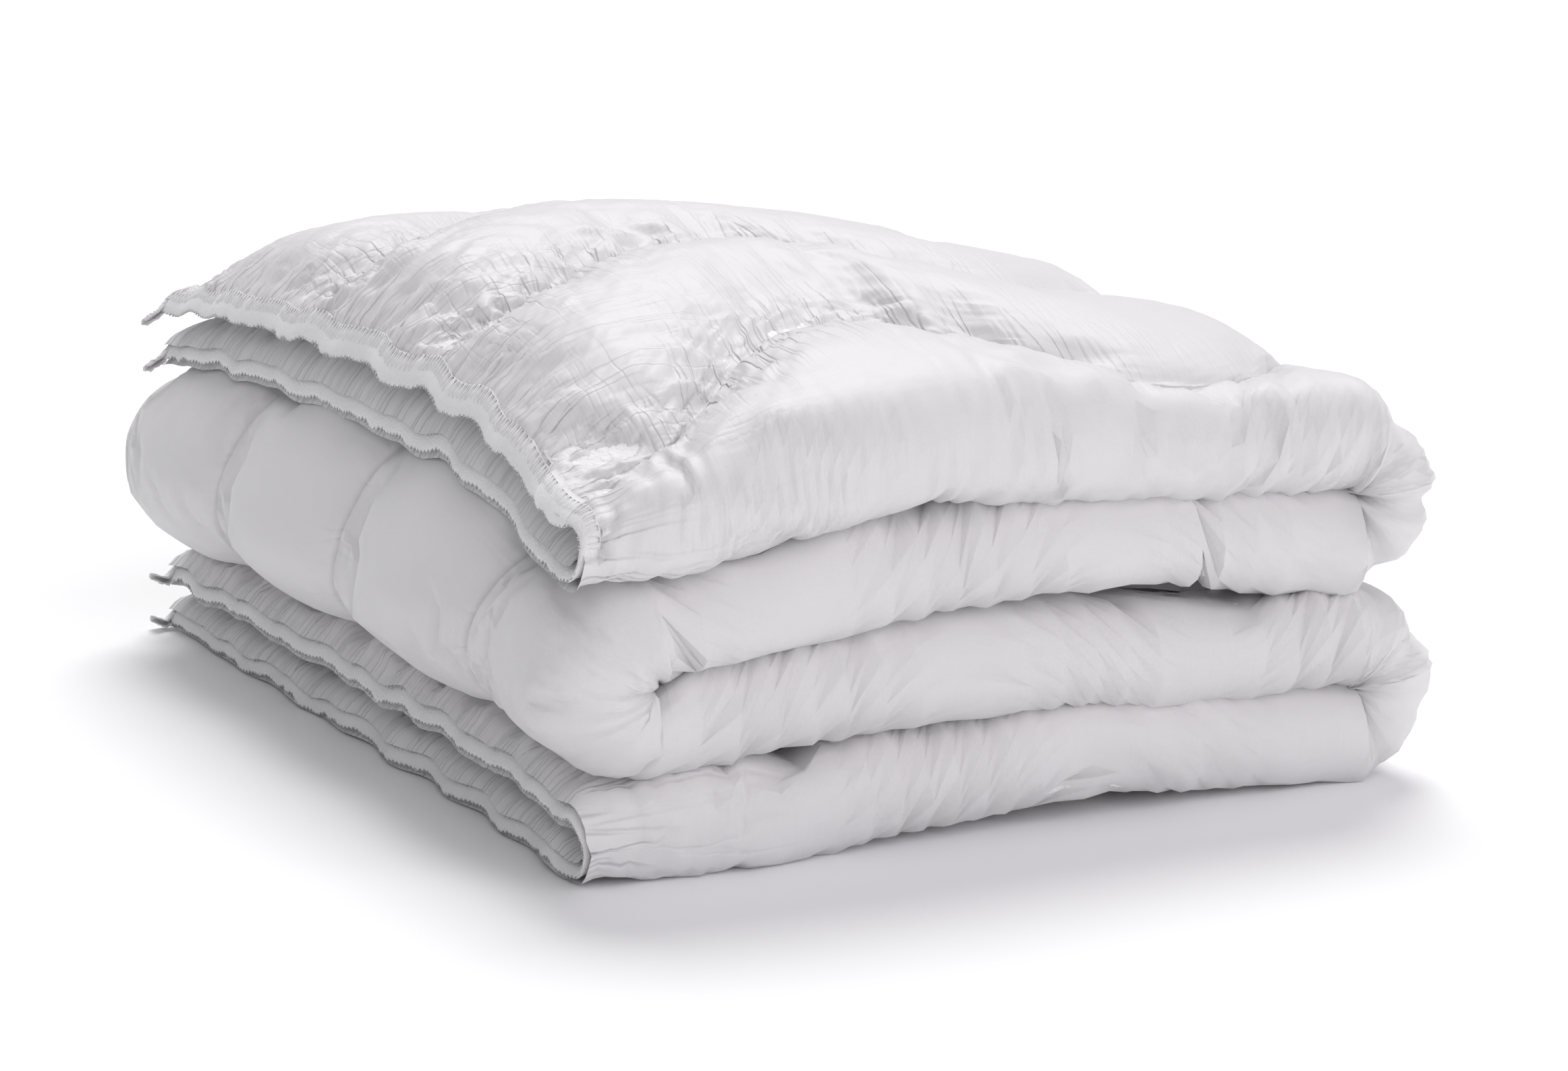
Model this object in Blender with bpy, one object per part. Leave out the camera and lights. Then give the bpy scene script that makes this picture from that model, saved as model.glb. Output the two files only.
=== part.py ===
"""Quilted duvet, folded in half along its length and then zig-zag into four layers.

Every piece is laid out on the flat duvet and carried through one fold map, so
the pieces keep their order and their gaps. Flat place: s runs along the length,
t across the width with the lengthwise fold at 0, n out of the outer face.
Frame: +X along the front fold, the open hems at -X, -Y the front, +Z up.
"""

import math

import bmesh
import bpy
from mathutils import Vector

LENGTH = 2.20  # flat duvet, metres
WIDTH = 1.40
LOFT = 0.0286  # one thickness of duvet as it lies folded
SEAM_LOFT = 0.0030  # filling left under a quilting seam and inside the hem
CLOTH = 0.0006  # cover cloth
GAP = 0.0003  # clearance between neighbouring pieces
FOLD_GAP = 0.0012  # air between two layers of the folded stack
END_REACH = 0.045  # how far both open ends run past the middle layers
DOME = 0.27  # the middle of the stack rises by this share

HEM_FLAT = 0.012  # flat margin under the binding
HEM_RISE = 0.080  # from the hem to full loft
BINDING_WIDE = 0.010
BINDING_THICK = 0.0012
TAIL = 0.015  # side binding left over past each corner
PATCH_FROM = 0.030  # closing patch on the head hem
PATCH_TO = 0.080
PATCH_WIDE = 0.013

SEAM_AT = (-0.5, -0.3, -0.1, 0.1, 0.3, 0.5)  # seven equal channels
SEAM_WAVE = 0.042
SEAM_PERIOD = 0.37
SEAM_SHIFT = 0.035  # the first crest lies this far in from the head end
THREAD = 0.0008

# How fine the facets are, and how full the loft is on the lines between two seams
TURN_STEPS = 5
NOSE_STEPS = 5
RUN_STEPS = 6
BATT_CREST = 0.78  # the batt's one line between two seams, kept inside the covers
BATT_EDGE = 0.68  # the batt's one line between the last seam and the side hem
EDGE_CREST = 0.4  # the covers' lines there, as shares of the last channel's width
EDGE_SLOPE = 0.25
SLOPE_LOFT = 0.7
STITCH_IN = 0.6  # where the stitching runs, as a share of the binding's width
STITCH_SHORT = 0.004  # the stitching stops this far before the tape's end

# Sizes that follow
FULL = LOFT / 2  # half thickness, covers included
NOSE_MID = FULL + FOLD_GAP / 2
NOSE_OUT = NOSE_MID + FULL
NOSE_ARC = math.pi * NOSE_MID / 2
PITCH = 2 * NOSE_OUT + FOLD_GAP
TURN = PITCH / 2
HALF = WIDTH / 2
DEPTH = NOSE_OUT + HALF - NOSE_ARC
RUN = (LENGTH - 3 * math.pi * TURN - 2 * END_REACH) / 4
SKIN = CLOTH + GAP


def clear_scene():
    """Empty the file the script starts in."""
    for old in list(bpy.data.objects):
        bpy.data.objects.remove(old, do_unlink=True)


def nose(t, n):
    """Depth behind the front edge, and height off the strip's middle."""
    if abs(t) < NOSE_ARC:
        turn = t / NOSE_MID
        return NOSE_OUT - (NOSE_MID + n) * math.cos(turn), (NOSE_MID + n) * math.sin(turn)
    side = 1.0 if t > 0 else -1.0
    return NOSE_OUT + abs(t) - NOSE_ARC, side * (NOSE_MID + n)


def zigzag(s, m):
    """Four runs joined by three half turns, offset m from their middle line."""
    half_turn = math.pi * TURN
    first = RUN + END_REACH
    if s <= first:
        return s - END_REACH, 3.5 * PITCH + m
    s -= first
    if s <= half_turn:
        a = s / TURN
        return RUN + (TURN + m) * math.sin(a), 3 * PITCH + (TURN + m) * math.cos(a)
    s -= half_turn
    if s <= RUN:
        return RUN - s, 2.5 * PITCH - m
    s -= RUN
    if s <= half_turn:
        a = s / TURN
        return -(TURN - m) * math.sin(a), 2 * PITCH + (TURN - m) * math.cos(a)
    s -= half_turn
    if s <= RUN:
        return s, 1.5 * PITCH + m
    s -= RUN
    if s <= half_turn:
        a = s / TURN
        return RUN + (TURN + m) * math.sin(a), PITCH + (TURN + m) * math.cos(a)
    s -= half_turn
    return RUN - s, 0.5 * PITCH - m


def arch(x, low, high):
    """0 and level at both ends, 1 over the middle."""
    part = min(max((x - low) / (high - low), 0.0), 1.0)
    return 0.5 - 0.5 * math.cos(2 * math.pi * part)


def folded(s, t, n):
    """Where a place on the flat duvet comes to lie."""
    depth, m = nose(t, n)
    x, z = zigzag(s, m)
    rise = 1.0 + DOME * arch(x, -PITCH, RUN + PITCH) * arch(depth, 0.0, DEPTH)
    return Vector((x, depth, (z - FOLD_GAP / 2) * rise))


def seam_place(base, s):
    """Where a quilting seam crosses the width at s."""
    return base - wave_at(s)


def wave_at(s):
    """How far every seam has swung to the lower side at s."""
    return SEAM_WAVE * math.cos(2 * math.pi * (s - SEAM_SHIFT) / SEAM_PERIOD)


def length_rows():
    """Places along the length, closer together in the turns and at the hems."""
    rows = [0.0, HEM_FLAT, 0.5 * HEM_RISE]
    first = RUN + END_REACH
    rows += [HEM_RISE + (first - HEM_RISE) * i / RUN_STEPS for i in range(RUN_STEPS)]
    at = first
    for straight in (RUN, RUN, None):
        rows += [at + math.pi * TURN * i / TURN_STEPS for i in range(TURN_STEPS)]
        at += math.pi * TURN
        if straight:
            rows += [at + straight * i / RUN_STEPS for i in range(RUN_STEPS)]
            at += straight
    last = LENGTH - HEM_RISE
    rows += [at + (last - at) * i / RUN_STEPS for i in range(RUN_STEPS)]
    rows += [last, LENGTH - 0.5 * HEM_RISE, LENGTH - HEM_FLAT, LENGTH]
    return rows


def width_lines(coarse):
    """Lines across the width: (flat place, follows the seams, share of loft)."""
    third = (SEAM_AT[-1] - SEAM_AT[-2]) / 3
    half = [(NOSE_ARC, 0.0, 1.0)]
    for i, seam in enumerate(SEAM_AT[3:]):
        half.append((seam, 1.0, 0.0))
        if i < 2 and coarse:
            half.append((seam + 1.5 * third, 1.0, BATT_CREST))
        elif i < 2:
            half.append((seam + third, 1.0, 1.0))
            half.append((seam + 2 * third, 1.0, 1.0))
    edge = HALF - SEAM_AT[-1]
    if coarse:
        half.append((SEAM_AT[-1] + 0.5 * edge, 0.5, BATT_EDGE))
        half.append((HALF - HEM_FLAT, 0.0, 0.0))
    else:
        half.append((SEAM_AT[-1] + EDGE_CREST * edge, 1.0 - EDGE_CREST, 1.0))
        half.append((HALF - EDGE_SLOPE * edge, 0.2, SLOPE_LOFT))
        half.append((HALF - HEM_FLAT, 0.0, 0.0))
        half.append((HALF, 0.0, 0.0))
    inner = [(NOSE_ARC * (2 * i / NOSE_STEPS - 1), 0.0, 1.0) for i in range(1, NOSE_STEPS)]
    return [(-t, f, h) for t, f, h in reversed(half)] + inner + half


def line_at(line, s):
    """The flat place across the width of one line at s."""
    t, follows, _ = line
    return t - follows * wave_at(s)


def loft_at(s, share):
    """Half thickness of the filling, low along the hems and the seams."""
    end = min(s, LENGTH - s)
    part = min(max((end - HEM_FLAT) / (HEM_RISE - HEM_FLAT), 0.0), 1.0)
    full = FULL - SKIN - SEAM_LOFT / 2
    return SEAM_LOFT / 2 + full * share * math.sin(math.pi * part / 2)


def new_object(name, mesh_data, material, collection):
    """Finish one solid and put it in the collection."""
    bmesh.ops.recalc_face_normals(mesh_data, faces=mesh_data.faces[:])
    mesh = bpy.data.meshes.new(name)
    mesh_data.to_mesh(mesh)
    mesh_data.free()
    obj = bpy.data.objects.new(name, mesh)
    mesh.materials.append(material)
    collection.objects.link(obj)
    return obj


def sheet(name, rows, lines, low, high, material, collection):
    """A closed sheet between two offsets, laid flat and then folded.

    low and high each give the offset from the sheet's middle, for half a
    thickness of filling at that place.
    """
    mesh_data = bmesh.new()
    bmesh.ops.create_grid(
        mesh_data, x_segments=len(rows) - 1, y_segments=len(lines) - 1, size=0.5
    )
    bmesh.ops.triangulate(mesh_data, faces=mesh_data.faces[:], quad_method="FIXED")
    bmesh.ops.solidify(mesh_data, geom=mesh_data.faces[:], thickness=1.0)
    top = max(v.co.z for v in mesh_data.verts)
    for v in mesh_data.verts:
        s = rows[round((v.co.x + 0.5) * (len(rows) - 1))]
        line = lines[round((v.co.y + 0.5) * (len(lines) - 1))]
        fill = loft_at(s, line[2])
        n = high(fill) if v.co.z > top - 0.5 else low(fill)
        v.co = folded(s, line_at(line, s), n)
    return new_object(name, mesh_data, material, collection)


def loft(name, rings, material, collection):
    """A closed skin through rings of equal length."""
    mesh_data = bmesh.new()
    made = [[mesh_data.verts.new(p) for p in ring] for ring in rings]
    count = len(rings[0])
    for a, b in zip(made, made[1:]):
        for i in range(count):
            j = (i + 1) % count
            mesh_data.faces.new((a[i], a[j], b[j], b[i]))
    mesh_data.faces.new(made[0][::-1])
    mesh_data.faces.new(made[-1])
    return new_object(name, mesh_data, material, collection)


def binding_section(inner, wide):
    """A tape folded over an edge: (distance in from the edge, offset) pairs."""
    outer = inner + BINDING_THICK
    back = -GAP - (inner - SEAM_LOFT / 2 - SKIN - GAP)
    return [
        (wide, outer),
        (back, outer),
        (back - BINDING_THICK, 0.5 * outer),
        (back - BINDING_THICK, -0.5 * outer),
        (back, -outer),
        (wide, -outer),
        (wide, -inner),
        (back, -inner),
        (back, inner),
        (wide, inner),
    ]


def thread_section(n):
    """A thread lying on a face at offset n, with its side towards the face."""
    side = 1.0 if n > 0 else -1.0
    low = n + side * GAP
    return [(-THREAD / 2, low), (THREAD / 2, low), (0.0, low + side * THREAD)]


def material_named(name, colour, rough, sheen):
    """A plain cloth or thread material."""
    material = bpy.data.materials.new(name)
    material.use_nodes = True
    shader = material.node_tree.nodes["Principled BSDF"]
    shader.inputs["Base Color"].default_value = (*colour, 1.0)
    shader.inputs["Roughness"].default_value = rough
    shader.inputs["Sheen Weight"].default_value = sheen
    material.diffuse_color = (*colour, 1.0)
    return material


def covers_and_filling(collection):
    """The two cover cloths with the fibre batt sealed between them."""
    rows = length_rows()
    lines = width_lines(coarse=False)
    outer = material_named("outer_cotton", (0.93, 0.93, 0.94), 0.65, 0.3)
    inner = material_named("inner_cotton", (0.90, 0.90, 0.91), 0.70, 0.3)
    batt = material_named("fibre_batt", (0.95, 0.95, 0.93), 0.95, 0.0)
    sheet(
        "outer_cover", rows, lines,
        lambda h: h + GAP, lambda h: h + SKIN, outer, collection,
    )
    sheet(
        "inner_cover", rows, lines,
        lambda h: -h - SKIN, lambda h: -h - GAP, inner, collection,
    )
    sheet(
        "fibre_filling", rows[1:-1], width_lines(coarse=True),
        lambda h: -h, lambda h: h, batt, collection,
    )


def bindings(collection):
    """Tape over the four edges, its stitching, and the closing patch."""
    tape = material_named("binding_tape", (0.90, 0.90, 0.90), 0.80, 0.4)
    patch = material_named("patch_tape", (0.94, 0.94, 0.94), 0.75, 0.4)
    stitch = material_named("binding_thread", (0.88, 0.88, 0.88), 0.60, 0.1)
    rows = length_rows()
    lines = width_lines(coarse=False)
    inner = SEAM_LOFT / 2 + SKIN + GAP
    section = binding_section(inner, BINDING_WIDE)
    reach = HALF - BINDING_WIDE - GAP
    crossing = [line_at(line, 0.0) for line in lines]
    across = [-reach] + [t for t in crossing if abs(t) < reach - STITCH_SHORT] + [reach]
    on_tape = thread_section(inner + BINDING_THICK)
    for name, edge, inward in (("head", 0.0, 1.0), ("foot", LENGTH, -1.0)):
        rings = [[folded(edge + inward * u, t, n) for u, n in section] for t in across]
        loft(f"{name}_binding", rings, tape, collection)
        place = edge + inward * STITCH_IN * BINDING_WIDE
        ends = [STITCH_SHORT / 2 - reach] + across[1:-1] + [reach - STITCH_SHORT / 2]
        rings = [[folded(place + u, t, n) for u, n in on_tape] for t in ends]
        loft(f"{name}_binding_thread", rings, stitch, collection)
    along = [-TAIL] + [s for s in rows if 0.005 < s < LENGTH - 0.005] + [LENGTH + TAIL]
    for name, side in (("upper", 1.0), ("lower", -1.0)):
        rings = [[folded(s, side * (HALF - u), n) for u, n in section] for s in along]
        loft(f"{name}_side_binding", rings, tape, collection)
        place = side * (HALF - STITCH_IN * BINDING_WIDE)
        ends = [STITCH_SHORT - TAIL] + along[1:-1] + [LENGTH + TAIL - STITCH_SHORT]
        rings = [[folded(s, place + u, n) for u, n in on_tape] for s in ends]
        loft(f"{name}_side_binding_thread", rings, stitch, collection)
    over = binding_section(inner + BINDING_THICK + THREAD + 2 * GAP, PATCH_WIDE)
    places = [PATCH_FROM, PATCH_TO]
    clear = STITCH_SHORT / 2
    places += [t for t in crossing if PATCH_FROM + clear < t < PATCH_TO - clear]
    rings = [[folded(u, t, n) for u, n in over] for t in sorted(places)]
    loft("closing_patch", rings, patch, collection)


def quilting(collection):
    """Two threads to each seam, one on each face."""
    needle = material_named("needle_thread", (0.90, 0.90, 0.91), 0.50, 0.1)
    bobbin = material_named("bobbin_thread", (0.90, 0.90, 0.91), 0.50, 0.1)
    rows = [s for s in length_rows() if HEM_FLAT < s < LENGTH - HEM_FLAT]
    rows = [HEM_FLAT + STITCH_SHORT] + rows + [LENGTH - HEM_FLAT - STITCH_SHORT]
    for i, base in enumerate(SEAM_AT):
        for kind, side, material in (("needle", 1.0, needle), ("bobbin", -1.0, bobbin)):
            rings = []
            for s in rows:
                t = seam_on_rows(base, s)
                face = side * (fill_on_rows(s) + SKIN)
                rings.append([folded(s, t + u, n) for u, n in thread_section(face)])
            loft(f"{kind}_thread_{i + 1}", rings, material, collection)


def between_rows(s, value):
    """A value read straight between the two rows of the covers next to s."""
    rows = length_rows()
    for a, b in zip(rows, rows[1:]):
        if a <= s <= b:
            part = (s - a) / (b - a)
            return value(a) * (1 - part) + value(b) * part
    return value(s)


def seam_on_rows(base, s):
    """The seam's place on the covers' own facets."""
    return between_rows(s, lambda at: seam_place(base, at))


def fill_on_rows(s):
    """Half thickness under a seam on the covers' own facets."""
    return between_rows(s, lambda at: loft_at(at, 0.0))


def settle(collection):
    """Put the origin at the middle of the underside."""
    points = [v.co for obj in collection.objects for v in obj.data.vertices]
    low = [min(p[i] for p in points) for i in range(3)]
    high = [max(p[i] for p in points) for i in range(3)]
    move = Vector((-(low[0] + high[0]) / 2, -(low[1] + high[1]) / 2, -low[2]))
    for obj in collection.objects:
        for v in obj.data.vertices:
            v.co += move


clear_scene()
duvet = bpy.data.collections.new("folded_duvet")
bpy.context.scene.collection.children.link(duvet)
covers_and_filling(duvet)
bindings(duvet)
quilting(duvet)
settle(duvet)
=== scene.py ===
import math

import bpy
import numpy as np
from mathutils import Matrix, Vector


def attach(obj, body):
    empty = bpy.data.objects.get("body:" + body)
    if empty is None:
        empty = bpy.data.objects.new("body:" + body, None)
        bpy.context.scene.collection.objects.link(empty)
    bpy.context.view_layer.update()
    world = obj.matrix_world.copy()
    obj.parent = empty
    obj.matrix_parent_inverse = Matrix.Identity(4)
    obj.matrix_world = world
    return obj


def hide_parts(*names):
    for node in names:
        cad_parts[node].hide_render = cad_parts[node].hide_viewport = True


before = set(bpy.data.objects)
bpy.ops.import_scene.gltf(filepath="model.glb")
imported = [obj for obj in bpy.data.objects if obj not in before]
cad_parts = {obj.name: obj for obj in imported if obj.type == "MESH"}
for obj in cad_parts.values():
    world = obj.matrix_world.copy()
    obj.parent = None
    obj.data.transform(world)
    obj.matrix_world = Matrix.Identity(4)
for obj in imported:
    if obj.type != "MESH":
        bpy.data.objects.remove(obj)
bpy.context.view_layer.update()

# ---------------------------------------------------------------------------
# The studio: a white floor that runs on without an edge, one soft light high behind
# on the right and a weak one in front, and a camera low at the open corner.
CAMERA_TURN = math.radians(-27.1)  # round from straight in front of the long fold, to the left
CAMERA_LIFT = math.radians(12.7)
CAMERA_FAR = 3.02
CAMERA_LENS = 112.0
CAMERA_AIM = Vector((-0.011, -0.070, 0.122))
FLOOR_REACH = 40.0
FLOOR_WHITE = (0.95, 0.955, 0.965, 1.0)
SKY_WHITE = (0.98, 0.98, 1.0, 1.0)
SKY_POWER = 0.44
LAMPS = (
    ("key_light", (0.34, 0.66, 1.0), math.radians(34), 2.10, (1.0, 0.99, 0.98)),
    ("front_light", (0.30, -1.0, 0.50), math.radians(70), 1.24, (1.0, 0.945, 0.99)),
)


def aimed(thing, place, aim):
    """Puts a lamp or camera at a place, looking from there at the aim."""
    thing.location = place
    thing.rotation_euler = (Vector(place) - Vector(aim)).to_track_quat("Z", "Y").to_euler()
    bpy.context.scene.collection.objects.link(thing)


camera_back = Vector((
    math.sin(CAMERA_TURN) * math.cos(CAMERA_LIFT),
    -math.cos(CAMERA_TURN) * math.cos(CAMERA_LIFT),
    math.sin(CAMERA_LIFT),
))
lens = bpy.data.cameras.new("camera")
lens.lens = CAMERA_LENS
camera = bpy.data.objects.new("camera", lens)
aimed(camera, CAMERA_AIM + CAMERA_FAR * camera_back, CAMERA_AIM)
bpy.context.scene.camera = camera

for lamp_name, place, spread, power, tint in LAMPS:
    lamp = bpy.data.lights.new(lamp_name, "SUN")
    lamp.energy = power
    lamp.angle = spread
    lamp.color = tint
    aimed(bpy.data.objects.new(lamp_name, lamp), place, (0.0, 0.0, 0.0))

sky = bpy.data.worlds.new("sky")
sky.use_nodes = True
sky.node_tree.nodes["Background"].inputs["Color"].default_value = SKY_WHITE
sky.node_tree.nodes["Background"].inputs["Strength"].default_value = SKY_POWER
bpy.context.scene.world = sky
bpy.context.scene.view_settings.view_transform = "Standard"

floor_mesh = bpy.data.meshes.new("floor")
floor_mesh.from_pydata(
    [(x * FLOOR_REACH, y * FLOOR_REACH, 0.0) for x, y in ((-1, -1), (1, -1), (1, 1), (-1, 1))],
    [], [(0, 1, 2, 3)],
)
floor = bpy.data.objects.new("floor", floor_mesh)
bpy.context.scene.collection.objects.link(floor)
floor_finish = bpy.data.materials.new("floor_white")
floor_finish.use_nodes = True
floor_shader = floor_finish.node_tree.nodes["Principled BSDF"]
floor_shader.inputs["Base Color"].default_value = FLOOR_WHITE
floor_shader.inputs["Roughness"].default_value = 0.7
floor_mesh.materials.append(floor_finish)

# ---------------------------------------------------------------------------
# The outer cover: one sheet of white sateen cotton, 1.40 m by 2.20 m, quilted to the
# filling along six wavy seams, folded once down its length and then in four layers.
LENGTH, WIDTH = 2.20, 1.40
HALF = WIDTH / 2
FULL = 0.0143
HEM_DRAWN = 0.010  # the end hems lie this far in from their flat place
HEM_LET_OUT = 0.012  # less this much round the lengthwise fold
HEM_LET_OUT_REACH = 0.10
HEM_WANDER = 0.0018
HEM_SWING = 0.0016
HEM_ZONE = 0.07
HEM_DROOP = 0.008
HEM_BEND = 0.014
FOLD_BULGE = 1.18  # the left fold is drawn out this much longer
END_TAPER = 0.42  # the right folds close up by this share at their tips
FOLD_GAP = 0.0012
END_REACH = 0.045
DOME = 0.29  # the middle of the stack rises by this share, its highest line left of centre
DOME_SKEW = 0.70
DOME_BROAD_ALONG, DOME_BROAD_ACROSS = 0.85, 0.6
DOME_PAST_OPEN, DOME_PAST_FOLDS = 0.02, 0.6
OPEN_CORNER_SAG = 0.018
SAG_ALONG = (-0.03, 0.18)
SAG_ACROSS = (0.03, 0.22)
NOSE_MID = FULL + FOLD_GAP / 2
NOSE_OUT = NOSE_MID + FULL
NOSE_ARC = math.pi * NOSE_MID / 2
PITCH = 2 * NOSE_OUT + FOLD_GAP
TURN = PITCH / 2
DEPTH = NOSE_OUT + HALF - NOSE_ARC
RUN = (LENGTH - 3 * math.pi * TURN - 2 * END_REACH) / 4
FLOOR_CLEAR = 0.0004  # nothing goes lower than this, and it slows down from the next height
FLOOR_SOFT = 0.0032
STACK_MIDDLE = np.array((0.2267, 0.3544, 0.0))
SEAM_AT = (-0.5, -0.3, -0.1, 0.1, 0.3, 0.5)
CHANNEL = 0.2
SWAY_AT = (-HALF, -0.5, 0.0, 0.1, 0.3, 0.5, HALF)
SWAY = (0.0, 0.8, 0.9, 1.25, 0.85, 1.1, 0.0)
SEAM_WAVE = 0.042
SEAM_PERIOD = 0.37
SEAM_SHIFT = 0.035
SEAM_PRESSED = 0.0058
SEAM_RISE = 0.0012
PUFF = 0.0157
FIRST_TURN = RUN + END_REACH
TURN_LONG = math.pi * TURN


def smooth(value, low, high):
    """Goes from 0 at low to 1 at high along half a cosine."""
    part = np.clip((value - low) / (high - low), 0.0, 1.0)
    return 0.5 - 0.5 * np.cos(np.pi * part)


def crown(value, low, high):
    """Goes from 0 at low up to 1 half way and back to 0 at high, along half a sine."""
    return np.sin(np.pi * np.clip((value - low) / (high - low), 0.0, 1.0))


def ripple(along, shortest, longest, seed, count=7):
    """The mean of several sine waves, whose lengths lie between the shortest and the longest."""
    draw = np.random.default_rng(seed)
    lengths = draw.uniform(shortest, longest, count)
    shifts = draw.uniform(0.0, 2 * np.pi, count)
    waves = [np.sin(2 * np.pi * along / size + shift) for size, shift in zip(lengths, shifts)]
    return np.sum(waves, axis=0) / math.sqrt(count)


def hem_swing(t):
    """How far the end hems stand off the layer's middle, as a slow irregular wave along them."""
    return HEM_SWING * ripple(t, 0.05, 0.15, 11)


def hem_reach(t):
    """How far the end hems are drawn in along the sheet: less at the front, plus a slow wave."""
    let_out = HEM_LET_OUT * np.exp(-(t / HEM_LET_OUT_REACH) ** 2)
    return HEM_DRAWN - let_out + HEM_WANDER * ripple(t, 0.06, 0.16, 12)


def folded(s, t, n):
    """Where a point of the flat sheet goes: s along it, t across it, n above its middle.
    Across, it bends round the lengthwise fold: depth and m are its place in that bend. Along,
    it zigzags through four layers: three half circles of radius TURN, with flat runs between."""
    s, t, n = np.broadcast_arrays(s, t, n)
    from_end = np.minimum(s, LENGTH - s)
    near = 1.0 - smooth(from_end, 0.0, HEM_ZONE)
    s = s + hem_reach(t) * near * np.where(s < LENGTH / 2, 1.0, -1.0)
    end = np.where(s < LENGTH / 2, -1.0, 1.0)
    n = n + hem_swing(t + 1.5 * end) * near
    n = n + end * HEM_DROOP * np.tanh(t / 0.03) * np.clip(1.0 - from_end / HEM_BEND, 0.0, 1.2) ** 2
    angle = np.clip(t, -NOSE_ARC, NOSE_ARC) / NOSE_MID
    past = np.maximum(np.abs(t) - NOSE_ARC, 0.0)
    depth = NOSE_OUT - (NOSE_MID + n) * np.cos(angle) + past
    m = (NOSE_MID + n) * np.sin(angle)
    starts = np.array((
        FIRST_TURN, FIRST_TURN + TURN_LONG, FIRST_TURN + TURN_LONG + RUN,
        FIRST_TURN + 2 * TURN_LONG + RUN, FIRST_TURN + 2 * TURN_LONG + 2 * RUN,
        FIRST_TURN + 3 * TURN_LONG + 2 * RUN,
    ))
    part = np.searchsorted(starts, s, side="right")
    at = s - np.concatenate(((0.0,), starts))[part]
    a = at / TURN
    x = np.choose(part, (
        at - END_REACH, RUN + (TURN + m) * np.sin(a), RUN - at, -(TURN - m) * np.sin(a),
        at, RUN + (TURN + m) * np.sin(a), RUN - at,
    ))
    x = np.where((part == 3) & (x < 0.0), x * FOLD_BULGE, x)
    z = np.choose(part, (
        3.5 * PITCH + m, 3 * PITCH + (TURN + m) * np.cos(a), 2.5 * PITCH - m,
        2 * PITCH + (TURN - m) * np.cos(a), 1.5 * PITCH + m,
        PITCH + (TURN + m) * np.cos(a), 0.5 * PITCH - m,
    ))
    past_end = np.clip((x - RUN) / PITCH, 0.0, 1.0)
    middle = np.where(z > 2 * PITCH, 3 * PITCH, PITCH)
    z = middle + (z - middle) * (1.0 - END_TAPER * past_end ** 2)
    sag = OPEN_CORNER_SAG * (1.0 - smooth(x, *SAG_ALONG)) * (1.0 - smooth(depth, *SAG_ACROSS))
    z = z - sag * smooth(z, 1.2 * PITCH, 3.0 * PITCH)
    whole = RUN + DOME_PAST_FOLDS * PITCH + END_REACH + DOME_PAST_OPEN
    part_way = np.clip((x + END_REACH + DOME_PAST_OPEN) / whole, 0.0, 1.0)
    along_crown = crown(part_way ** DOME_SKEW, 0.0, 1.0) ** DOME_BROAD_ALONG
    rise = 1.0 + DOME * along_crown * crown(depth, 0.0, DEPTH) ** DOME_BROAD_ACROSS
    points = np.stack((x, depth, (z - FOLD_GAP / 2) * rise), -1)
    points = points - STACK_MIDDLE
    soft = FLOOR_SOFT - FLOOR_CLEAR
    under = np.minimum(points[..., 2] - FLOOR_SOFT, 0.0)
    eased = FLOOR_CLEAR + soft * np.exp(under / soft)
    points[..., 2] = np.where(under < 0.0, eased, points[..., 2])
    return points


def seam_height(s, t):
    """How far a seam lies above the layer's middle: low on top of the stack, higher in the layers
    under it, which are pressed flat, and over the left fold, where the cover is drawn out tight."""
    below_top = smooth(s, FIRST_TURN, FIRST_TURN + TURN_LONG)
    return SEAM_RISE + SEAM_PRESSED * np.maximum(below_top, t < 0.0)


def seam_line(s, base):
    """A seam's place across the sheet: its straight line less a slow cosine wave along it."""
    sway = np.interp(base, SWAY_AT, SWAY)
    return base - SEAM_WAVE * sway * np.cos(2 * np.pi * (s - SEAM_SHIFT) / SEAM_PERIOD)


def steps(stops, counts, crowd=0.0):
    """Numbers from the first stop to the last, so many in each span, closer at the stops."""
    spans = []
    for low, high, count in zip(stops, stops[1:], counts):
        part = np.arange(count) / count
        part = part - crowd * np.sin(2 * np.pi * part) / (2 * np.pi)
        spans.append(low + (high - low) * part)
    return np.concatenate(spans + [np.array(stops[-1:])])


def grid_mesh(name, points, round_v=False, caps=False, flip=False):
    """A mesh over a grid of points, rows by columns, closed round its columns and at its ends if
    asked. A closed one is turned so that the volume that its faces enclose is above zero."""
    rows, columns = points.shape[:2]
    corners = points.reshape(-1, 3)
    number = np.arange(rows * columns).reshape(rows, columns)
    if round_v:
        number = np.concatenate((number, number[:, :1]), axis=1)
        a = corners[number[:-1, :-1]]
        b = corners[number[1:, :-1]]
        c = corners[number[1:, 1:]]
        d = corners[number[:-1, 1:]]
        flip = np.sum(a * np.cross(b, c)) + np.sum(a * np.cross(c, d)) < 0
    if flip:
        number = number[:, ::-1]
    quads = np.stack((number[:-1, :-1], number[1:, :-1], number[1:, 1:], number[:-1, 1:]), -1)
    faces = quads.reshape(-1, 4).tolist()
    if caps:
        faces.append(number[0, :columns].tolist())
        faces.append(number[-1, columns - 1::-1].tolist())
    mesh = bpy.data.meshes.new(name)
    mesh.from_pydata(corners, [], faces)
    mesh.update()
    mesh.shade_smooth()
    piece = bpy.data.objects.new(name, mesh)
    bpy.context.scene.collection.objects.link(piece)
    return piece


def grid_normals(points):
    """The outward direction at each point of a grid: across the two grid directions."""
    along = np.gradient(points, axis=0)
    across = np.gradient(points, axis=1)
    normals = np.cross(along, across)
    return normals / np.maximum(np.linalg.norm(normals, axis=-1, keepdims=True), 1e-12)


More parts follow.
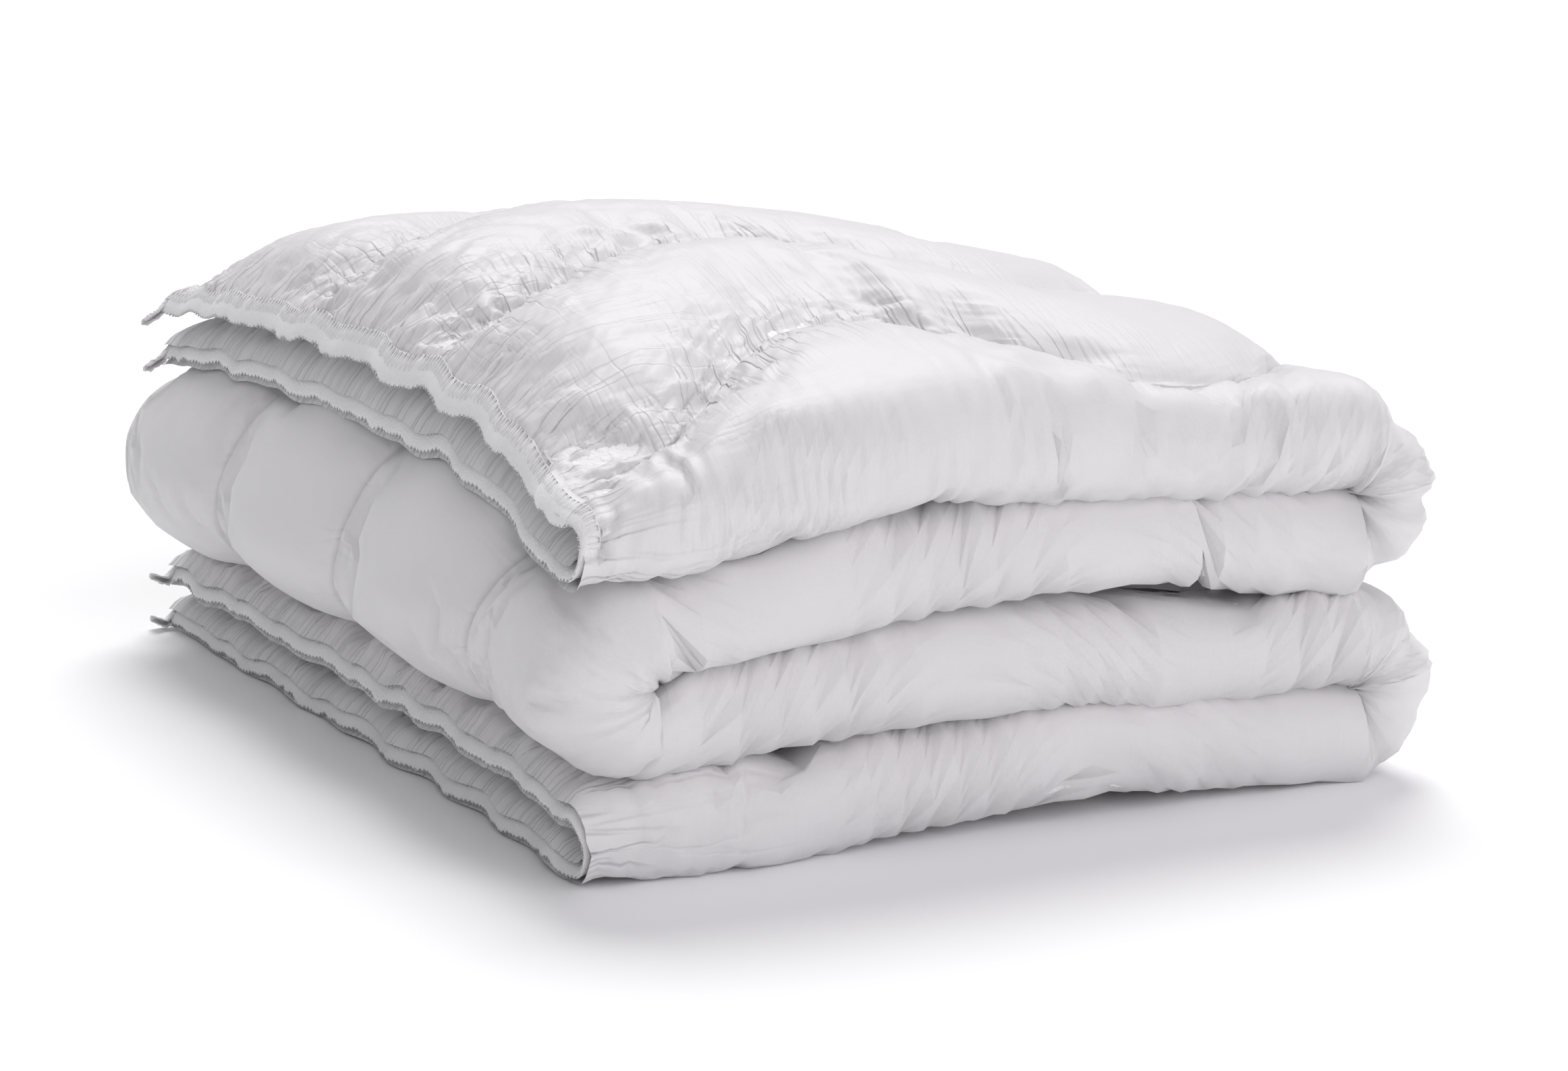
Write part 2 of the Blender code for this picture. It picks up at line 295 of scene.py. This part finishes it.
CREASE_HEM_REACH = 0.055
CREASE_SEAM_REACH = 0.035
CREASE_DEEP = 0.002
CREASE_HALF = 0.11


def sheet_notes(piece, s, t, seam_off):
    """Keeps on the mesh each point's place on the flat sheet, and how near a hem or seam it is."""
    from_end = np.minimum(s, LENGTH - s)
    by_hem = np.exp(-from_end / CREASE_HEM_REACH)
    busy = 0.2 + 0.8 * (1.0 - smooth(s, 0.22, 0.5)) * smooth(t, 0.03, 0.10)
    by_seam = busy * np.exp(-seam_off / CREASE_SEAM_REACH)
    flat = piece.data.attributes.new("sheet_place", "FLOAT_VECTOR", "POINT")
    flat.data.foreach_set("vector", np.stack((s, t, 0.0 * s), -1).reshape(-1))
    for name, field in (("by_hem", by_hem), ("by_seam", by_seam * (1.0 - by_hem))):
        kept = piece.data.attributes.new(name, "FLOAT", "POINT")
        kept.data.foreach_set("value", field.reshape(-1))


def pressed_creases(finish, strength):
    """Fine creases off hems and seams: thin valleys where a stretched noise crosses its middle."""
    tree = finish.node_tree
    shader = tree.nodes["Principled BSDF"]
    place = tree.nodes.new("ShaderNodeAttribute")
    place.attribute_name = "sheet_place"
    before = shader.inputs["Normal"].links[0].from_socket
    for near, scale in (("by_hem", (9.0, 105.0, 1.0)), ("by_seam", (105.0, 12.0, 1.0))):
        stretch = tree.nodes.new("ShaderNodeMapping")
        stretch.inputs["Scale"].default_value = scale
        tree.links.new(place.outputs["Vector"], stretch.inputs["Vector"])
        noise = tree.nodes.new("ShaderNodeTexNoise")
        noise.inputs["Scale"].default_value = 1.0
        noise.inputs["Detail"].default_value = 1.0
        noise.inputs["Distortion"].default_value = 0.6
        tree.links.new(stretch.outputs["Vector"], noise.inputs["Vector"])
        trough = tree.nodes.new("ShaderNodeMapRange")
        trough.interpolation_type = "SMOOTHSTEP"
        trough.inputs["From Min"].default_value = 0.0
        trough.inputs["From Max"].default_value = CREASE_HALF
        off = tree.nodes.new("ShaderNodeMath")
        off.operation = "SUBTRACT"
        off.inputs[1].default_value = 0.5
        size = tree.nodes.new("ShaderNodeMath")
        size.operation = "ABSOLUTE"
        tree.links.new(noise.outputs["Fac"], off.inputs[0])
        tree.links.new(off.outputs["Value"], size.inputs[0])
        tree.links.new(size.outputs["Value"], trough.inputs["Value"])
        mask = tree.nodes.new("ShaderNodeAttribute")
        mask.attribute_name = near
        height = tree.nodes.new("ShaderNodeMath")
        height.operation = "MULTIPLY"
        tree.links.new(trough.outputs["Result"], height.inputs[0])
        tree.links.new(mask.outputs["Fac"], height.inputs[1])
        bump = tree.nodes.new("ShaderNodeBump")
        bump.inputs["Distance"].default_value = CREASE_DEEP
        bump.inputs["Strength"].default_value = strength
        tree.links.new(height.outputs["Value"], bump.inputs["Height"])
        tree.links.new(before, bump.inputs["Normal"])
        before = bump.outputs["Normal"]
    tree.links.new(before, shader.inputs["Normal"])


def cloth_finish(name, colour, rough, sheen, weave, crease, crease_scale=70.0):
    """Woven cotton: two crossed sets of yarns, a finer slub, and small soft creases, all as bump."""
    finish = bpy.data.materials.new(name)
    finish.use_nodes = True
    tree = finish.node_tree
    shader = tree.nodes["Principled BSDF"]
    shader.inputs["Roughness"].default_value = rough
    shader.inputs["Sheen Weight"].default_value = sheen
    shader.inputs["Sheen Roughness"].default_value = 0.45
    shader.inputs["Specular IOR Level"].default_value = 0.35
    place = tree.nodes.new("ShaderNodeTexCoord")
    tone = tree.nodes.new("ShaderNodeTexNoise")
    tone.inputs["Scale"].default_value = 9.0
    tone.inputs["Detail"].default_value = 3.0
    shades = tree.nodes.new("ShaderNodeValToRGB")
    shades.color_ramp.elements[0].position = 0.3
    shades.color_ramp.elements[1].position = 0.7
    shades.color_ramp.elements[0].color = (*(c * 0.975 for c in colour), 1.0)
    shades.color_ramp.elements[1].color = (*colour, 1.0)
    tree.links.new(place.outputs["Object"], tone.inputs["Vector"])
    tree.links.new(tone.outputs["Fac"], shades.inputs["Fac"])
    tree.links.new(shades.outputs["Color"], shader.inputs["Base Color"])
    heights = []
    for direction in ("X", "Y"):
        yarn = tree.nodes.new("ShaderNodeTexWave")
        yarn.bands_direction = direction
        yarn.inputs["Scale"].default_value = 500.0
        yarn.inputs["Distortion"].default_value = 1.5
        tree.links.new(place.outputs["Object"], yarn.inputs["Vector"])
        heights.append(yarn.outputs["Fac"])
    yarns = tree.nodes.new("ShaderNodeMath")
    yarns.operation = "MULTIPLY"
    tree.links.new(heights[0], yarns.inputs[0])
    tree.links.new(heights[1], yarns.inputs[1])
    weave_bump = tree.nodes.new("ShaderNodeBump")
    weave_bump.inputs["Distance"].default_value = 0.0002
    weave_bump.inputs["Strength"].default_value = weave
    tree.links.new(yarns.outputs["Value"], weave_bump.inputs["Height"])
    small = tree.nodes.new("ShaderNodeTexNoise")
    small.inputs["Scale"].default_value = crease_scale
    small.inputs["Detail"].default_value = 3.0
    small.inputs["Distortion"].default_value = 1.2
    stretch = tree.nodes.new("ShaderNodeMapping")
    stretch.inputs["Scale"].default_value = (0.35, 1.0, 1.0)
    stretch.inputs["Rotation"].default_value = (0.0, 0.0, 0.5)
    tree.links.new(place.outputs["Object"], stretch.inputs["Vector"])
    tree.links.new(stretch.outputs["Vector"], small.inputs["Vector"])
    crease_bump = tree.nodes.new("ShaderNodeBump")
    crease_bump.inputs["Distance"].default_value = 0.0015
    crease_bump.inputs["Strength"].default_value = crease
    tree.links.new(small.outputs["Fac"], crease_bump.inputs["Height"])
    tree.links.new(weave_bump.outputs["Normal"], crease_bump.inputs["Normal"])
    tree.links.new(crease_bump.outputs["Normal"], shader.inputs["Normal"])
    return finish


HEM_FLAT = 0.0095
HEM_RISE = 0.085
HEM_PLEAT_FINE, HEM_PLEAT_BROAD = 0.0012, 0.0030
SEAM_PLEAT_FINE, SEAM_PLEAT_BROAD = 0.0006, 0.0024


def sheet_shape(s, v):
    """The grid in sheet terms: columns that follow the seams, and the height over the middle, low at
    seams and hems and full between them, as powers of sines, with pleats that die out from there."""
    t = seam_line(s, v)
    channel = (v - 0.1) / CHANNEL
    channel = channel - np.floor(channel)
    seam_off = np.minimum(channel, 1.0 - channel) * CHANNEL
    from_end = np.minimum(s, LENGTH - s)
    puff = np.sin(np.pi * channel) ** 0.5
    hem = np.sin(np.pi / 2 * np.clip((from_end - HEM_FLAT) / HEM_RISE, 0.0, 1.0)) ** 0.75
    low = seam_height(s, t)
    n = low + (PUFF - low) * puff * hem
    # pleats off the end hems
    slant = 0.012 * ripple(from_end, 0.06, 0.14, 21)
    fine = ripple(t + slant, 0.012, 0.022, 22)
    broad = ripple(t + slant, 0.026, 0.055, 23)
    n = n + HEM_PLEAT_FINE * fine * np.exp(-from_end / 0.05) * smooth(from_end, 0.006, 0.02)
    n = n + HEM_PLEAT_BROAD * broad * np.exp(-from_end / 0.09) * smooth(from_end, 0.008, 0.04)
    # pleats off the seams, on the left half of the top most of all
    row = np.floor((v + HALF) / CHANNEL)
    busy = 0.3 + 0.7 * (1.0 - smooth(s, 0.22, 0.48)) * smooth(v, -0.02, 0.08)
    slant = 0.010 * ripple(seam_off * 3 + row, 0.06, 0.14, 31) - 0.8 * np.clip(t, -0.1, 0.1)
    fine = ripple(s + slant + 0.37 * row, 0.013, 0.026, 32)
    broad = ripple(s + slant + 0.61 * row, 0.030, 0.065, 33)
    fine = SEAM_PLEAT_FINE * busy * fine
    broad = SEAM_PLEAT_BROAD * busy * broad
    n = n + fine * np.exp(-seam_off / 0.022) * smooth(seam_off, 0.001, 0.012)
    n = n + broad * np.exp(-seam_off / 0.05) * smooth(seam_off, 0.003, 0.03)
    return t, n, seam_off


TURN_RIDGE_FRONT, TURN_RIDGE = 0.0034, 0.0014
FRONT_WAVE, FRONT_RIPPLE = 0.0017, 0.0008


def crumple(points, s, t, seam_off):
    """Height added off the surface: ridges along each fold's turn, strongest at the front, and
    slanting waves on the front, each a sum of sines that fades out at the seams."""
    front = 1.0 - smooth(np.abs(t), 0.035, 0.075)
    added = np.zeros_like(s)
    for number, upper in ((0, 1), (1, 0), (2, 1)):
        middle = FIRST_TURN + (TURN_LONG + RUN) * number + TURN_LONG / 2
        angle = (s - middle) / TURN
        window = 1.0 - smooth(np.abs(angle), 1.5, 2.6)
        ridges = ripple(angle + 0.5 * t / HALF, 0.45, 1.2, 41 + number, count=4)
        strong = 1.0 if upper else 0.35
        by_front = 1.0 - smooth(np.abs(t), 0.04, 0.11)
        added = added + TURN_RIDGE_FRONT * strong * window * ridges * by_front
        ridges = ripple(angle + 3.0 * t, 0.5, 1.2, 45 + number)
        added = added + TURN_RIDGE * strong * window * ridges
    x, z = points[..., 0], points[..., 2]
    slope = ripple(0.78 * x - 0.9 * z + 0.1 * ripple(x, 0.2, 0.5, 51), 0.035, 0.085, 52)
    added = added + FRONT_WAVE * front * slope
    fine = ripple(0.7 * x - 0.8 * z + 0.02 * ripple(x + z, 0.07, 0.2, 53), 0.014, 0.03, 54)
    added = added + FRONT_RIPPLE * front * fine
    return added * smooth(seam_off, 0.0, 0.02)


HEM_VALLEY, SEAM_VALLEY, FRONT_VALLEY = 0.0034, 0.0034, 0.0024
VALLEY_WIDE = 0.42


def valley(field, width):
    """A narrow trough along each line where the field crosses zero, as a bell curve across it."""
    return np.exp(-(field / width) ** 2)


def sharp_folds(points, s, t, seam_off):
    """Narrow valleys pressed into the finished cover, as heights below it: off the hems and seams
    they fade by an exponential, and on the front they come in patches, leaning to the right."""
    from_end = np.minimum(s, LENGTH - s)
    bend = 0.010 * ripple(from_end, 0.05, 0.12, 71)
    reach = 0.045 + 0.025 * ripple(t, 0.03, 0.10, 79)
    hems = valley(ripple(t + bend, 0.022, 0.044, 72), VALLEY_WIDE)
    hems = hems * np.exp(-from_end / np.maximum(reach, 0.02))
    hems = HEM_VALLEY * hems * smooth(from_end, 0.010, 0.024)
    bend = 0.012 * ripple(2 * seam_off + t, 0.05, 0.12, 73) - 0.8 * np.clip(t, -0.1, 0.1)
    busy = 0.22 + 0.78 * (1.0 - smooth(s, 0.22, 0.48)) * smooth(t, 0.03, 0.10)
    reach = 0.040 + 0.018 * ripple(s, 0.04, 0.12, 80)
    seams = valley(ripple(s + bend, 0.026, 0.050, 74), VALLEY_WIDE)
    seams = seams * np.exp(-seam_off / np.maximum(reach, 0.012))
    seams = SEAM_VALLEY * busy * seams
    seams = seams * smooth(seam_off, 0.0, 0.008) * smooth(from_end, 0.012, 0.05)
    x, z = points[..., 0], points[..., 2]
    lean = 0.80 * x - 0.62 * z
    patch = ripple(x + 0.5 * z, 0.11, 0.3, 75) * ripple(z - 0.3 * x, 0.08, 0.2, 76)
    patch = np.clip(patch, 0.0, 1.0)
    creases = valley(ripple(lean + 0.006 * ripple(z, 0.03, 0.08, 77), 0.035, 0.075, 78), 0.3)
    by_front = 1.0 - smooth(np.abs(t), 0.05, 0.10)
    front = FRONT_VALLEY * patch * creases * by_front * smooth(from_end, 0.01, 0.04)
    return -(hems + seams + front)


CLOTH_SETTINGS = (
    ("quality", 4), ("mass", 0.3), ("tension_stiffness", 15), ("compression_stiffness", 15),
    ("shear_stiffness", 5), ("bending_stiffness", 0.15), ("air_damping", 2),
    ("vertex_group_mass", "held"), ("vertex_group_shrink", "slack"),
    ("shrink_min", -0.035), ("shrink_max", -0.09),
    ("use_pressure", True), ("uniform_pressure_force", 2.0),
)
SLACK_LEVELS = 10


def billow(piece, held, loose, frames=20):
    """Cloth run: seams and hems are held, the cloth is longer than its place, and air fills it."""
    group = piece.vertex_groups.new(name="held")
    group.add(np.nonzero(held)[0].tolist(), 1.0, "REPLACE")
    slack = piece.vertex_groups.new(name="slack")
    for level in range(1, SLACK_LEVELS + 1):
        chosen = np.nonzero(np.round(loose * SLACK_LEVELS) == level)[0].tolist()
        if chosen:
            slack.add(chosen, level / SLACK_LEVELS, "REPLACE")
    cloth = piece.modifiers.new("cloth", "CLOTH")
    for setting, value in CLOTH_SETTINGS:
        setattr(cloth.settings, setting, value)
    cloth.settings.effector_weights.gravity = 0.0
    cloth.collision_settings.use_collision = False
    cloth.collision_settings.use_self_collision = False
    cloth.point_cache.frame_start = 1
    cloth.point_cache.frame_end = frames
    for step in range(1, frames + 1):
        bpy.context.scene.frame_set(step)
    shaped = piece.evaluated_get(bpy.context.evaluated_depsgraph_get()).to_mesh()
    moved = np.zeros(len(shaped.vertices) * 3)
    shaped.vertices.foreach_get("co", moved)
    piece.modifiers.clear()
    piece.vertex_groups.clear()
    return moved.reshape(-1, 3)


def softened(field, reach):
    """Each number becomes the mean of those round it: a running mean both ways, done twice."""
    for _ in range(2):
        for axis in (0, 1):
            pad = [(0, 0), (0, 0)]
            pad[axis] = (reach + 1, reach)
            run = np.cumsum(np.pad(field, pad, mode="edge"), axis=axis)
            size = field.shape[axis]
            far = np.take(run, np.arange(2 * reach + 1, 2 * reach + 1 + size), axis=axis)
            field = (far - np.take(run, np.arange(size), axis=axis)) / (2 * reach + 1)
    return field


ROWS = steps(
    (0.0, 0.10, 0.30, FIRST_TURN, FIRST_TURN + TURN_LONG, FIRST_TURN + TURN_LONG + RUN,
     FIRST_TURN + 2 * TURN_LONG + RUN, FIRST_TURN + 2 * TURN_LONG + 2 * RUN,
     FIRST_TURN + 3 * TURN_LONG + 2 * RUN, LENGTH - 0.10, LENGTH),
    (34, 52, 24, 30, 20, 40, 20, 26, 22, 16),
)[:, None]
COLUMNS = steps(
    (-HALF, -0.5, -0.3, -0.1, 0.1, 0.3, 0.5, HALF), (26, 26, 25, 44, 79, 78, 68), crowd=0.30,
)[None, :]
COVER_CAP = 0.011  # no point moves further than this in the cloth run
COVER_SINK = 0.001  # nor does the cover sink further than this as a whole
SINK_REACH = 9
HELD_HEM, HELD_SIDE = 0.011, 0.004
LOOSE_HEM, LOOSE_FRONT = 0.85, 0.20
cover_s = ROWS + 0.0 * COLUMNS
cover_t, cover_n, cover_off = sheet_shape(cover_s, COLUMNS)
cover_points = folded(cover_s, cover_t, cover_n)
cover_extra = crumple(cover_points, cover_s, cover_t, cover_off)
cover_points = cover_points + grid_normals(cover_points) * cover_extra[..., None]
outer_cover = grid_mesh("outer_cover_cloth", cover_points)
ends = np.minimum(cover_s, LENGTH - cover_s)
sewn = np.isclose(COLUMNS[:, :, None], np.array(SEAM_AT), atol=1e-6).any(-1)
held = sewn | (ends < HELD_HEM) | (HALF - np.abs(COLUMNS) < HELD_SIDE)
by_front = 1.0 - smooth(np.abs(cover_t), 0.06, 0.14)
by_hem = LOOSE_HEM * np.exp(-ends / 0.06) * (1.0 - 0.8 * by_front)
loose = np.maximum(by_hem, LOOSE_FRONT * by_front)
start = cover_points.reshape(-1, 3)
moved = billow(outer_cover, held.reshape(-1), loose.reshape(-1)) - start
outward = grid_normals(cover_points).reshape(-1, 3)
inwards = np.sum(moved * outward, axis=1).reshape(cover_s.shape)
sunk = np.minimum(softened(inwards, SINK_REACH) + COVER_SINK, 0.0).reshape(-1, 1)
moved = moved - outward * sunk
far = np.linalg.norm(moved, axis=1, keepdims=True)
moved = moved * (COVER_CAP * np.tanh(far / COVER_CAP) / np.maximum(far, 1e-9))
final = start + moved
shaped = final.reshape(cover_points.shape)
pressed = sharp_folds(shaped, cover_s, cover_t, cover_off)[..., None]
final = (shaped + grid_normals(shaped) * pressed).reshape(-1, 3)
final[:, 2] = np.maximum(final[:, 2], FLOOR_CLEAR)
outer_cover.data.vertices.foreach_set("co", final.reshape(-1))
outer_cover.data.update()
sheet_notes(outer_cover, cover_s, cover_t, cover_off)
COVER_WHITE = (0.715, 0.706, 0.717)
CREASE_STRENGTH = 0.75
cover_finish = cloth_finish("white_sateen", COVER_WHITE, 0.5, 0.22, 0.25, 0.12)
pressed_creases(cover_finish, CREASE_STRENGTH)
outer_cover.data.materials.append(cover_finish)
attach(outer_cover, "root")
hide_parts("outer_cover")

# ---------------------------------------------------------------------------
# The inner cover: the same sateen on the reverse side. Folding brings it inside each
# layer, so it shows only in the two open ends, in the shade and drawn into pleats.
INNER_PUFF = 0.0137
INNER_RISE = 0.004
INNER_PLEAT = 0.0042
INNER_ROWS = steps((0.0, 0.12, LENGTH - 0.12, LENGTH), (26, 100, 26))[:, None]
INNER_COLUMNS = steps(
    (-HALF, -0.5, -0.3, -0.1, 0.1, 0.3, 0.5, HALF), (42, 42, 44, 48, 44, 42, 42), crowd=0.3,
)[None, :]
inner_s = INNER_ROWS + 0.0 * INNER_COLUMNS
inner_t, inner_n, inner_off = sheet_shape(inner_s, INNER_COLUMNS)
inner_n = np.clip(inner_n, SEAM_RISE, PUFF) * INNER_PUFF / PUFF
inner_end = np.minimum(inner_s, LENGTH - inner_s)
inner_bend = 0.010 * ripple(inner_end, 0.05, 0.12, 81)
inner_pleat = valley(ripple(inner_t + inner_bend, 0.026, 0.050, 82), 0.5)
inner_pleat = inner_pleat * np.exp(-inner_end / 0.07)
inner_added = INNER_RISE * np.exp(-inner_end / 0.05) - INNER_PLEAT * inner_pleat
inner_n = inner_n + smooth(inner_end, 0.010, 0.030) * inner_added
inner_cover = grid_mesh("inner_cover_cloth", folded(inner_s, inner_t, -inner_n), flip=True)
sheet_notes(inner_cover, inner_s, inner_t, inner_off)
INNER_WHITE = (0.73, 0.725, 0.73)
inner_finish = cloth_finish("white_sateen_reverse", INNER_WHITE, 0.6, 0.2, 0.25, 0.1)
pressed_creases(inner_finish, CREASE_STRENGTH)
inner_cover.data.materials.append(inner_finish)
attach(inner_cover, "root")
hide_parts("inner_cover")

# ---------------------------------------------------------------------------
# The filling: one light fibre batt, as wide and long as the covers less their hems,
# squeezed thin under every seam, so that it lies in seven channels.
BATT_INSET = 0.012
BATT_SHARE = 0.35
BATT_ROWS = steps((BATT_INSET, LENGTH - BATT_INSET), (200,))[:, None]
BATT_COLUMNS = steps(
    (-HALF + BATT_INSET, -0.5, -0.3, -0.1, 0.1, 0.3, 0.5, HALF - BATT_INSET), (8,) * 7,
)[None, :]
batt_s = BATT_ROWS + 0.0 * BATT_COLUMNS
batt_t, batt_n, _ = sheet_shape(batt_s, BATT_COLUMNS)
batt_n = np.clip(batt_n, SEAM_RISE, PUFF) * BATT_SHARE
batt_over = folded(batt_s, batt_t, batt_n)
batt_under = folded(batt_s, batt_t, -batt_n)[:, ::-1]
fibre_filling = grid_mesh(
    "fibre_batt", np.concatenate((batt_over, batt_under), axis=1), round_v=True, caps=True,
)
batt_finish = bpy.data.materials.new("fibre_batt_white")
batt_finish.use_nodes = True
batt_shader = batt_finish.node_tree.nodes["Principled BSDF"]
batt_shader.inputs["Base Color"].default_value = (0.9, 0.9, 0.9, 1.0)
batt_shader.inputs["Roughness"].default_value = 0.95
batt_fibres = batt_finish.node_tree.nodes.new("ShaderNodeTexNoise")
batt_fibres.inputs["Scale"].default_value = 220.0
batt_fibres.inputs["Detail"].default_value = 6.0
batt_place = batt_finish.node_tree.nodes.new("ShaderNodeTexCoord")
batt_bump = batt_finish.node_tree.nodes.new("ShaderNodeBump")
batt_bump.inputs["Distance"].default_value = 0.002
batt_finish.node_tree.links.new(batt_place.outputs["Object"], batt_fibres.inputs["Vector"])
batt_finish.node_tree.links.new(batt_fibres.outputs["Fac"], batt_bump.inputs["Height"])
batt_finish.node_tree.links.new(batt_bump.outputs["Normal"], batt_shader.inputs["Normal"])
fibre_filling.data.materials.append(batt_finish)
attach(fibre_filling, "root")
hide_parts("fibre_filling")

# ---------------------------------------------------------------------------
# The binding: soft cotton tape folded over all four edges, oversewn with a looped
# thread. The tape is joined every few centimetres and runs on in a curl past each corner.
TAPE_WIDE = 0.0095
TAPE_OUT = 0.0016
TAPE_HALF = 0.0022
TAPE_PLY = 0.0007
TAIL = 0.013  # the side tapes run on this far past the corners
TAIL_CURL, SIDE_TAIL_CURL = 22.0, 25.0
JOINT_EVERY = 0.055
STITCH_PITCH = 0.0046
THREAD_RADIUS = 0.00036
TAPE_RING = np.array((
    (TAPE_WIDE, TAPE_HALF), (TAPE_WIDE * 0.55, TAPE_HALF * 1.06), (0.0012, TAPE_HALF),
    (-TAPE_OUT * 0.75, TAPE_HALF * 0.62), (-TAPE_OUT, 0.0), (-TAPE_OUT * 0.75, -TAPE_HALF * 0.62),
    (0.0012, -TAPE_HALF), (TAPE_WIDE * 0.55, -TAPE_HALF * 1.06), (TAPE_WIDE, -TAPE_HALF),
    (TAPE_WIDE, -TAPE_HALF + TAPE_PLY), (0.0012, -TAPE_HALF + TAPE_PLY),
    (0.0012, TAPE_HALF - TAPE_PLY), (TAPE_WIDE, TAPE_HALF - TAPE_PLY),
))


def edge_place(edge, along, inward, up):
    """Where a point of the hem goes: along an edge, in from it, and up from the layer's middle.
    Past the corners the tape curls over by the square of how far it has gone."""
    if edge in ("head", "foot"):
        over = np.maximum(np.abs(along) - HALF, 0.0)
        s = inward if edge == "head" else LENGTH - inward
        return folded(s, along, up - TAIL_CURL * over ** 2)
    over = np.maximum(np.maximum(-along, along - LENGTH), 0.0)
    turn = 1.0 if edge == "upper" else -1.0
    return folded(along, turn * (HALF - inward), up - turn * SIDE_TAIL_CURL * over ** 2)


def tape(name, edge, first, last, count, grow=0.0):
    """A folded tape: its ring of points carried along the edge, a little thicker at every joint."""
    along = np.linspace(first, last, count)[:, None]
    off = (along / JOINT_EVERY - np.round(along / JOINT_EVERY)) * JOINT_EVERY
    bulge = 1.0 + 0.3 * np.exp(-(off / 0.002) ** 2) + 0.06 * ripple(along, 0.008, 0.02, 61)
    inward = TAPE_RING[None, :, 0] * (1.0 + grow) + 0.0003 * ripple(along, 0.012, 0.03, 62)
    up = TAPE_RING[None, :, 1] * (bulge + grow)
    return grid_mesh(name, edge_place(edge, along, inward, up), round_v=True, caps=True)


def thread_tube(name, path, radius=THREAD_RADIUS, sides=4):
    """A thread: a small ring carried along a line of points, square to it."""
    ahead = np.gradient(path, axis=0)
    ahead = ahead / np.maximum(np.linalg.norm(ahead, axis=1, keepdims=True), 1e-9)
    aside = np.cross(ahead, np.array((0.31, 0.23, 0.92)))
    aside = aside / np.maximum(np.linalg.norm(aside, axis=1, keepdims=True), 1e-9)
    above = np.cross(aside, ahead)
    turn = np.linspace(0.0, 2 * np.pi, sides, endpoint=False)[None, :, None]
    ring = np.cos(turn) * aside[:, None] + np.sin(turn) * above[:, None]
    return grid_mesh(name, path[:, None] + radius * ring, round_v=True, caps=True)


def overlock(name, edge, first, last):
    """The oversewing: a thread that runs along the tape's inner line, then loops round the edge."""
    stitch = np.array((
        (0.0, TAPE_WIDE * 0.92, TAPE_HALF * 1.2), (0.5, TAPE_WIDE * 0.92, TAPE_HALF * 1.25),
        (0.58, TAPE_WIDE * 0.4, TAPE_HALF * 1.22), (0.66, -TAPE_OUT * 1.35, 0.0),
        (0.74, TAPE_WIDE * 0.4, -TAPE_HALF * 1.22), (0.8, TAPE_WIDE * 0.92, -TAPE_HALF * 1.2),
        (0.86, TAPE_WIDE * 0.4, -TAPE_HALF * 1.25), (0.93, -TAPE_OUT * 1.4, 0.0),
        (0.97, TAPE_WIDE * 0.4, TAPE_HALF * 1.22),
    ))
    count = int((last - first) / STITCH_PITCH)
    along = first + (np.arange(count)[:, None] + stitch[None, :, 0]) * STITCH_PITCH
    inward = np.broadcast_to(stitch[None, :, 1], along.shape)
    up = np.broadcast_to(stitch[None, :, 2], along.shape)
    path = edge_place(edge, along.reshape(-1), inward.reshape(-1), up.reshape(-1))
    return thread_tube(name, path)


tape_finish = cloth_finish("binding_cotton_tape", (0.80, 0.795, 0.80), 0.8, 0.4, 0.5, 0.5, 420.0)
thread_finish = cloth_finish("white_cotton_thread", (0.84, 0.84, 0.86), 0.6, 0.3, 0.2, 0.1)
EDGES = (
    ("head", "head_binding", -HALF, HALF, 700), ("foot", "foot_binding", -HALF, HALF, 700),
    ("upper", "upper_side_binding", -TAIL, LENGTH + TAIL, 520),
    ("lower", "lower_side_binding", -TAIL, LENGTH + TAIL, 520),
)
for edge, node, first, last, count in EDGES:
    binding = tape(node + "_tape", edge, first, last, count)
    binding.data.materials.append(tape_finish)
    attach(binding, "root")
    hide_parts(node)
    sewing = overlock(node + "_stitches", edge, first, last)
    sewing.data.materials.append(thread_finish)
    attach(sewing, "root")
    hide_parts(node + "_thread")

# ---------------------------------------------------------------------------
# The closing patch: a short wide tape sewn flat over the head hem near the front,
# where the duvet was filled and closed.
PATCH_FROM, PATCH_TO = 0.030, 0.080
PATCH_GROW = 0.20
closing_patch = tape("closing_patch_tape", "head", PATCH_FROM, PATCH_TO, 60, grow=PATCH_GROW)
closing_patch.data.materials.append(
    cloth_finish("closing_patch_cotton", (0.84, 0.84, 0.845), 0.7, 0.3, 0.5, 0.4, 300.0)
)
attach(closing_patch, "root")
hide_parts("closing_patch")

# ---------------------------------------------------------------------------
# The quilting: six lines of lockstitch through both covers, a needle thread on the
# face and a bobbin thread on the reverse, pulled down tight between the channels.
QUILT_PITCH = 0.004
QUILT_SUNK, QUILT_STANDS = 0.0003, 0.0006
quilt_along = np.linspace(0.003, LENGTH - 0.003, int(LENGTH / QUILT_PITCH) * 3)
quilt_dip = np.abs(np.cos(np.pi * quilt_along / QUILT_PITCH))
for number, base in enumerate(SEAM_AT, 1):
    for side, kind in ((1.0, "needle"), (-1.0, "bobbin")):
        across = seam_line(quilt_along, base)
        seam_up = seam_height(quilt_along, across if side > 0 else HALF)
        height = side * (seam_up - QUILT_SUNK + QUILT_STANDS * quilt_dip)
        path = folded(quilt_along, across, height)
        seam = thread_tube(f"{kind}_stitches_{number}", path, sides=3)
        seam.data.materials.append(thread_finish)
        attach(seam, "root")
        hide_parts(f"{kind}_thread_{number}")
